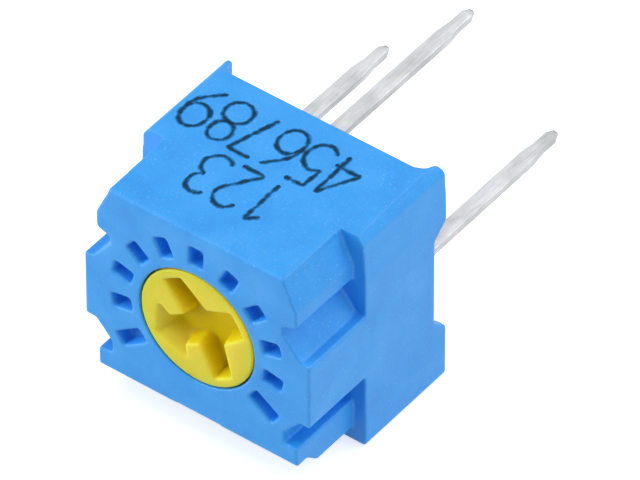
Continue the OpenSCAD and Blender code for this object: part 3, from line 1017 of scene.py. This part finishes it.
@dataclass
class ResinFace:
    """The resin's outer skin: it creeps up at the housing's wall and at each pin, and is a little wavy."""

    corner: float = 0.35 * MM
    corner_steps: int = 12
    inset: float = 0.004 * MM
    wall_creep: float = 0.09 * MM
    wall_reach: float = 0.2 * MM
    pin_creep: float = 0.1 * MM
    pin_reach: float = 0.16 * MM
    pin_half: float = 0.096 * MM
    wave: float = 0.01 * MM
    wave_length: float = 2.3 * MM
    thickness: float = 0.05 * MM
    hub_share: float = 0.004
    crowding: float = 1.6
    rings: int = 70
    around: int = 260

    def outline(self, half_x: float, half_z: float) -> np.ndarray:
        """A rectangle with round corners, which are quarter circles, sampled at even steps.

        Args:
            half_x: Half its size along X.
            half_z: Half its size along Z.

        Returns:
            Points about its centre, around by 2.
        """
        quarter = np.linspace(0, math.pi / 2, self.corner_steps)
        signs = [(1, 1), (-1, 1), (-1, -1), (1, -1)]
        arcs = []
        for turn, (sx, sz) in enumerate(signs):
            angle = quarter + turn * math.pi / 2
            arcs.append(np.column_stack([sx * (half_x - self.corner) + self.corner * np.cos(angle),
                                         sz * (half_z - self.corner) + self.corner * np.sin(angle)]))
        path = np.concatenate(arcs + [arcs[0][:1]])
        run = np.concatenate([[0], np.cumsum(np.linalg.norm(np.diff(path, axis=0), axis=1))])
        at = np.linspace(0, run[-1], self.around, endpoint=False)
        return np.column_stack([np.interp(at, run, path[:, 0]), np.interp(at, run, path[:, 1])])

    def build(self, finish: CuredResin) -> bpy.types.Object:
        """Makes the skin.

        The height over the flat resin is wall_creep times exp(-d / wall_reach), with d the distance
        to the wall, plus pin_creep times exp(-d / pin_reach) for each pin, plus a product of two
        sines. Rings of points run from a small hub at the centre to the wall, closer together there by
        the power crowding, and a second sheet closes it below.

        Args:
            finish: The resin.

        Returns:
            The piece.
        """
        low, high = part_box("back_seal")
        centre = (low + high) / 2
        half_x, half_z = (high.x - low.x) / 2 - self.inset, (high.z - low.z) / 2 - self.inset
        edge = self.outline(half_x, half_z)
        share = 1.0 - (1.0 - np.linspace(self.hub_share, 1.0, self.rings)) ** self.crowding
        x = np.outer(share, edge[:, 0])
        z = np.outer(share, edge[:, 1])
        gap = np.minimum(half_x - np.abs(x), half_z - np.abs(z))
        rise = self.wall_creep * np.exp(-np.maximum(gap, 0) / self.wall_reach)
        turn_x, turn_z = (v / self.wave_length * math.tau for v in (x, z))
        rise += self.wave * np.sin(turn_x) * np.cos(turn_z)
        for number in PINS:
            first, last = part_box(f"terminal_{number}")
            pin_z = frame_mount(f"pin_{number}").z - centre.z
            pin_x = (first.x + last.x) / 2 - centre.x
            away = np.hypot(np.maximum(np.abs(x - pin_x) - (last.x - first.x) / 2, 0),
                            np.maximum(np.abs(z - pin_z) - self.pin_half, 0))
            rise += self.pin_creep * np.exp(-away / self.pin_reach)
        outer = np.stack([centre.x + x, high.y + rise, centre.z + z], 2)
        inner = outer * [1, 0, 1] + np.array([0, high.y - self.thickness, 0])
        verts = np.concatenate([outer.reshape(-1, 3), inner.reshape(-1, 3)])
        count = self.rings * self.around
        top = grid_faces(self.rings, self.around)
        bottom = grid_faces(self.rings, self.around, first=count)[:, ::-1]
        j = np.arange(self.around)
        rim = (self.rings - 1) * self.around
        skirt = np.stack([rim + j, rim + (j + 1) % self.around,
                          count + rim + (j + 1) % self.around, count + rim + j], 1)
        hub = np.stack([j, count + j, count + (j + 1) % self.around, (j + 1) % self.around], 1)
        piece = new_piece("resin_face", verts, np.concatenate([top, bottom, skirt, hub]))
        outward(piece)
        dress(piece, finish.material())
        return register(piece, Body.CASING, Slot.SEALING_RESIN)


def frame_mount(name: str) -> Vector:
    """The place of one of the record's mounts."""
    return Vector(next(m["pos_m"] for m in frame["record"]["mounts"] if m["name"] == name))


def outward(piece: bpy.types.Object) -> None:
    """Turns a closed mesh's faces outwards.

    Args:
        piece: The piece with the mesh.
    """
    work = bmesh.new()
    work.from_mesh(piece.data)
    bmesh.ops.recalc_face_normals(work, faces=work.faces)
    work.to_mesh(piece.data)
    work.free()


def arc(cx: float, cy: float, rx: float, ry: float, start: float, end: float) -> Path:
    """Points along part of an ellipse.

    Args:
        cx: Centre across the glyph.
        cy: Centre up the glyph.
        rx: Half width.
        ry: Half height.
        start: First angle in degrees, anticlockwise from the right.
        end: Last angle in degrees.

    Returns:
        The points.
    """
    count = max(4, int(abs(end - start) / 12))
    angle = np.radians(np.linspace(start, end, count))
    return [(float(cx + rx * c), float(cy + ry * s)) for c, s in zip(np.cos(angle), np.sin(angle))]


# Plain single-stroke numerals in a box one unit high and half a unit wide.
NUMERALS: dict[str, list[Path]] = {
    "1": [[(0.08, 0.8), (0.3, 1.0), (0.3, 0.0)]],
    "2": [arc(0.25, 0.74, 0.24, 0.26, 165, -35) + [(0.02, 0.0), (0.5, 0.0)]],
    "3": [arc(0.23, 0.76, 0.22, 0.24, 150, -80), arc(0.23, 0.27, 0.26, 0.27, 80, -150)],
    "4": [[(0.4, 0.0), (0.4, 1.0), (0.0, 0.3), (0.52, 0.3)]],
    "5": [[(0.46, 1.0), (0.08, 1.0), (0.05, 0.56)] + arc(0.23, 0.32, 0.26, 0.32, 130, -145)],
    "6": [[(0.42, 1.0)] + arc(0.4, 0.36, 0.38, 0.5, 125, 172) + arc(0.26, 0.29, 0.24, 0.29, 172, 540)],
    "7": [[(0.02, 1.0), (0.48, 1.0), (0.16, 0.0)]],
    "8": [arc(0.25, 0.76, 0.2, 0.24, -110, 290), arc(0.25, 0.26, 0.25, 0.26, 110, -290)],
    "9": [arc(0.26, 0.71, 0.24, 0.29, -30, 360) + arc(0.1, 0.64, 0.4, 0.5, -4, -55) + [(0.08, 0.0)]],
}


@dataclass
class PrintedRow:
    """One row of numerals on the top face, read from the pins' side."""

    text: str
    left: float
    back: float
    height: float
    pitch: float


@dataclass
class TopPrint:
    """Plain numerals pad-printed on the top face, each stroke a low bead of ink."""

    rows: tuple[PrintedRow, ...] = (
        PrintedRow("123", left=1.0 * MM, back=-2.9 * MM, height=1.42 * MM, pitch=0.84 * MM),
        PrintedRow("456789", left=1.95 * MM, back=-1.15 * MM, height=1.46 * MM, pitch=0.82 * MM),
    )
    half_stroke: float = 0.084 * MM
    film: float = 0.003 * MM
    lift: float = 0.0012 * MM
    wobble: float = 0.08
    wobble_reach: float = 0.21 * MM
    blunt: float = 0.995
    step: float = 0.03 * MM
    across: int = 9

    def stroke(self, path: np.ndarray, plane: np.ndarray) -> tuple[np.ndarray, np.ndarray, np.ndarray]:
        """One stroke's bead of ink.

        The bead is a ribbon carried along the path, whose corners are rounded by a mean of five
        points. Its half width is half_stroke times sqrt(1 - e * e) near the ends, with e running to
        blunt over the last half width, so it ends round, times 1 + wobble * sin(run / wobble_reach).
        Its height across is film times (1 - v * v), and a flat strip closes it below.

        Args:
            path: The stroke's points on the face, n by 2.
            plane: The face's coefficients.

        Returns:
            The points, the quads and the map points.
        """
        run = np.concatenate([[0], np.cumsum(np.linalg.norm(np.diff(path, axis=0), axis=1))])
        count = max(8, int(run[-1] / self.step))
        at = np.linspace(0, run[-1], count)
        line = np.column_stack([np.interp(at, run, path[:, k]) for k in (0, 1)])
        smooth = np.pad(line, ((2, 2), (0, 0)), mode="edge")
        line = sum(smooth[k:k + count] for k in range(5)) / 5
        along = np.gradient(line, axis=0)
        along /= np.linalg.norm(along, axis=1)[:, None] + 1e-12
        side = np.column_stack([-along[:, 1], along[:, 0]])
        to_end = np.minimum(at, run[-1] - at)
        e = np.clip(1 - to_end / self.half_stroke, 0, self.blunt)
        uneven = 1 + self.wobble * np.sin(at / self.wobble_reach)
        half = self.half_stroke * np.sqrt(1 - e * e) * uneven
        v = np.linspace(-1, 1, self.across)
        flat = line[:, None, :] + side[:, None, :] * (half[:, None] * v[None, :])[:, :, None]
        ground = plane[0] * flat[..., 0] + plane[1] * flat[..., 1] + plane[2]
        top = np.concatenate([flat, (ground + self.lift + self.film * (1 - v * v))[..., None]], 2)
        low = np.concatenate([flat, (ground - self.lift)[..., None]], 2)[:, ::-1]
        ring = np.concatenate([top, low], 1)
        columns = 2 * self.across
        across = np.concatenate([v, v[::-1]]) * 0.5 + 0.5
        uv = np.stack(np.broadcast_arrays(at[:, None] / self.half_stroke, across[None, :]), 2)
        faces = grid_faces(count, columns)
        pairs = np.arange(self.across - 1)
        cap = np.stack([pairs, pairs + 1, columns - 2 - pairs, columns - 1 - pairs], 1)
        last = (count - 1) * columns + cap[:, ::-1]
        return ring.reshape(-1, 3), np.concatenate([faces, cap, last]), uv.reshape(-1, 2)

    def build(self, finish: PadInk, plane: np.ndarray) -> bpy.types.Object:
        """Prints every row.

        Args:
            finish: The ink.
            plane: The top face's coefficients.

        Returns:
            The print as one piece.
        """
        verts, faces, maps, first = [], [], [], 0
        for row in self.rows:
            for place, numeral in enumerate(row.text):
                for path in NUMERALS[numeral]:
                    points = np.array(path) * row.height
                    x = row.left - place * row.pitch - points[:, 0]
                    y = row.back - points[:, 1]
                    v, f, uv = self.stroke(np.column_stack([x, y]), plane)
                    verts.append(v)
                    faces.append(f + first)
                    maps.append(uv)
                    first += len(v)
        piece = new_piece("top_print", *(np.concatenate(parts) for parts in (verts, faces, maps)))
        outward(piece)
        dress(piece, finish.material())
        return register(piece, Body.CASING, Slot.BLUE_PLASTIC)


@dataclass
class InnerParts:
    """The pieces inside, which keep their CAD shape and get their own finishes."""

    def build(self, palette: Palette) -> list[str]:
        """Dresses the inner nodes.

        Args:
            palette: The part's finishes.

        Returns:
            The nodes' names.
        """
        finishes = {
            "o_ring": palette.rubber, "wiper": palette.spring, "substrate": palette.alumina,
            "resistive_track": palette.cermet, "end_pad_left": palette.film,
            "end_pad_right": palette.film, "collector_button": palette.contact,
            "solder_1": palette.solder, "solder_2": palette.solder, "solder_3": palette.solder,
            "back_seal": palette.resin,
        }
        made: dict[str, bpy.types.Material] = {}
        for node, finish in finishes.items():
            if finish.name not in made:
                made[finish.name] = finish.material()
            dress(frame["nodes"][node], made[finish.name])
        return list(finishes)


# ---------------------------------------------------------------- studio


def heading(azimuth: float, elevation: float) -> Vector:
    """The unit direction at an azimuth from the front towards the right, and an elevation, in degrees."""
    az, el = math.radians(azimuth), math.radians(elevation)
    return Vector((math.sin(az) * math.cos(el), -math.cos(az) * math.cos(el), math.sin(el)))


@dataclass
class Lamp:
    """A soft square lamp: where it stands round the part, how wide it looks and how strongly it lights."""

    name: str
    azimuth: float
    elevation: float
    light: float
    distance: float = 0.09
    size: float = 0.06

    def build(self) -> None:
        """Hangs the lamp so that a white face turned to it gets the irradiance `light` times pi.

        A square lamp of power P and distance d, seen face on, gives the irradiance P / (pi d d) where
        it is small against d, so P is light times pi times pi times d times d.
        """
        low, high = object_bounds()
        centre = (low + high) / 2
        away = heading(self.azimuth, self.elevation)
        light = bpy.data.lights.new(self.name, "AREA")
        light.shape = "SQUARE"
        light.size = self.size
        light.energy = self.light * (math.pi * self.distance) ** 2
        lamp = bpy.data.objects.new(self.name, light)
        lamp.location = centre + away * self.distance
        lamp.rotation_euler = away.to_track_quat("Z", "Y").to_euler()
        bpy.context.scene.collection.objects.link(lamp)


@dataclass
class Studio:
    """A pale table, a white surround that gives little light, and soft lamps on both sides."""

    floor_half: float = 0.08
    floor_gap: float = 0.002 * MM
    floor_grain: float = 3.0 * MM
    table_white: float = 0.7
    glow: float = 0.66
    surround: float = 0.17
    mirrored: float = 1.0
    lamps: tuple[Lamp, ...] = (
        Lamp("left_lamp", azimuth=-50, elevation=15, light=0.68),
        Lamp("high_left_lamp", azimuth=-50, elevation=70, light=0.27),
        Lamp("high_front_lamp", azimuth=0, elevation=60, light=0.06),
        Lamp("right_lamp", azimuth=86, elevation=16, light=0.28),
        Lamp("back_right_lamp", azimuth=125, elevation=50, light=0.38),
        Lamp("back_lamp", azimuth=180, elevation=50, light=0.13),
    )

    def floor(self) -> bpy.types.Object:
        """The table: pale, with a glow that only the camera and mirrors see, so it keeps the shadow.

        Returns:
            The table.
        """
        half = self.floor_half
        corners = [(-half, -half), (half, -half), (half, half), (-half, half)]
        verts = np.array([(x, y, -self.floor_gap) for x, y in corners])
        piece = new_piece("table_top", verts, np.array([[0, 1, 2, 3]]))
        graph = Graph("table_white")
        grain = graph.noise(self.floor_grain, detail=2.0)
        shade = (self.table_white,) * 3
        tint = graph.ramp(grain, [(0.3, mixed(shade, (0.0, 0.0, 0.0), 0.01)), (0.7, shade)])
        graph.paint(tint)
        graph.fix(Roughness=0.9, Specular_IOR_Level=0.0)
        rays = graph.node("ShaderNodeLightPath")
        seen = graph.calc("MAXIMUM", (rays, "Is Camera Ray"), (rays, "Is Glossy Ray"))
        strength = graph.calc("MULTIPLY", (seen, 0), self.glow)
        glow = graph.node("ShaderNodeEmission")
        graph.link(strength, 0, glow, "Strength")
        both = graph.node("ShaderNodeAddShader")
        graph.link(graph.shader, "BSDF", both, 0)
        graph.link(glow, "Emission", both, 1)
        graph.link(both, "Shader", graph.output, "Surface")
        dress(piece, graph.material)
        piece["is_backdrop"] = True
        return piece

    def sky(self) -> None:
        """The surround: a little plain light, near white in mirrors and full white to the camera."""
        world = bpy.data.worlds.new("surround")
        world.use_nodes = True
        tree = world.node_tree
        tree.nodes.clear()
        rays = tree.nodes.new("ShaderNodeLightPath")
        shown = self.background(tree, self.surround)
        for ray, strength in (("Is Glossy Ray", self.mirrored), ("Is Camera Ray", 1.0)):
            mix = tree.nodes.new("ShaderNodeMixShader")
            tree.links.new(rays.outputs[ray], mix.inputs[0])
            tree.links.new(shown.outputs[0], mix.inputs[1])
            tree.links.new(self.background(tree, strength).outputs[0], mix.inputs[2])
            shown = mix
        out = tree.nodes.new("ShaderNodeOutputWorld")
        tree.links.new(shown.outputs[0], out.inputs["Surface"])
        bpy.context.scene.world = world

    @staticmethod
    def background(tree: bpy.types.NodeTree, strength: float) -> bpy.types.Node:
        """Adds a white background.

        Args:
            tree: The surround's node tree.
            strength: How bright it is.

        Returns:
            The node.
        """
        made = tree.nodes.new("ShaderNodeBackground")
        made.inputs["Color"].default_value = (1, 1, 1, 1)
        made.inputs["Strength"].default_value = strength
        return made

    def build(self) -> None:
        """Sets up the table, the surround and the lamps."""
        self.floor()
        self.sky()
        for lamp in self.lamps:
            lamp.build()
        bpy.context.scene.view_settings.view_transform = "Standard"


@dataclass
class Viewpoint:
    """A long lens that looks down on the front, from the right."""

    azimuth: float = 37.366
    elevation: float = 42.867
    roll: float = -0.151
    distance: float = 0.25203
    lens: float = 596.7
    sensor: float = 36.0
    aim: tuple[float, float, float] = (0.609 * MM, -1.405 * MM, 3.879 * MM)

    def build(self) -> bpy.types.Object:
        """Makes the camera.

        Returns:
            The camera.
        """
        data = bpy.data.cameras.new("viewpoint")
        data.lens, data.sensor_width = self.lens, self.sensor
        data.clip_start, data.clip_end = 0.01, 5.0
        camera = bpy.data.objects.new("viewpoint", data)
        back = heading(self.azimuth, self.elevation)
        right = Vector((0, 0, 1)).cross(back).normalized()
        up = back.cross(right)
        turned = Matrix.Rotation(math.radians(self.roll), 3, back)
        right, up = turned @ right, turned @ up
        axes = Matrix((right, up, back)).transposed()
        camera.matrix_world = Matrix.Translation(Vector(self.aim) + back * self.distance) @ axes.to_4x4()
        bpy.context.scene.collection.objects.link(camera)
        bpy.context.scene.camera = camera
        return camera


# ---------------------------------------------------------------- the whole


def main() -> None:
    """Builds every piece in order and reports it."""
    logging.basicConfig(level=logging.INFO, format="%(message)s")
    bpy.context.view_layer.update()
    palette = Palette()
    Viewpoint().build()
    housing = Housing()
    LOG.info("built %s", housing.build(palette.casing).name)
    LOG.info("built %s", Rotor().build(palette.rotor).name)
    for pin in Terminals().build(palette.pins):
        LOG.info("built %s", pin.name)
    LOG.info("built %s", ResinFace().build(palette.resin).name)
    LOG.info("built %s", TopPrint().build(palette.ink, housing.top_plane()).name)
    LOG.info("dressed %s", ", ".join(InnerParts().build(palette)))
    Studio().build()


if __name__ == "__main__":
    main()
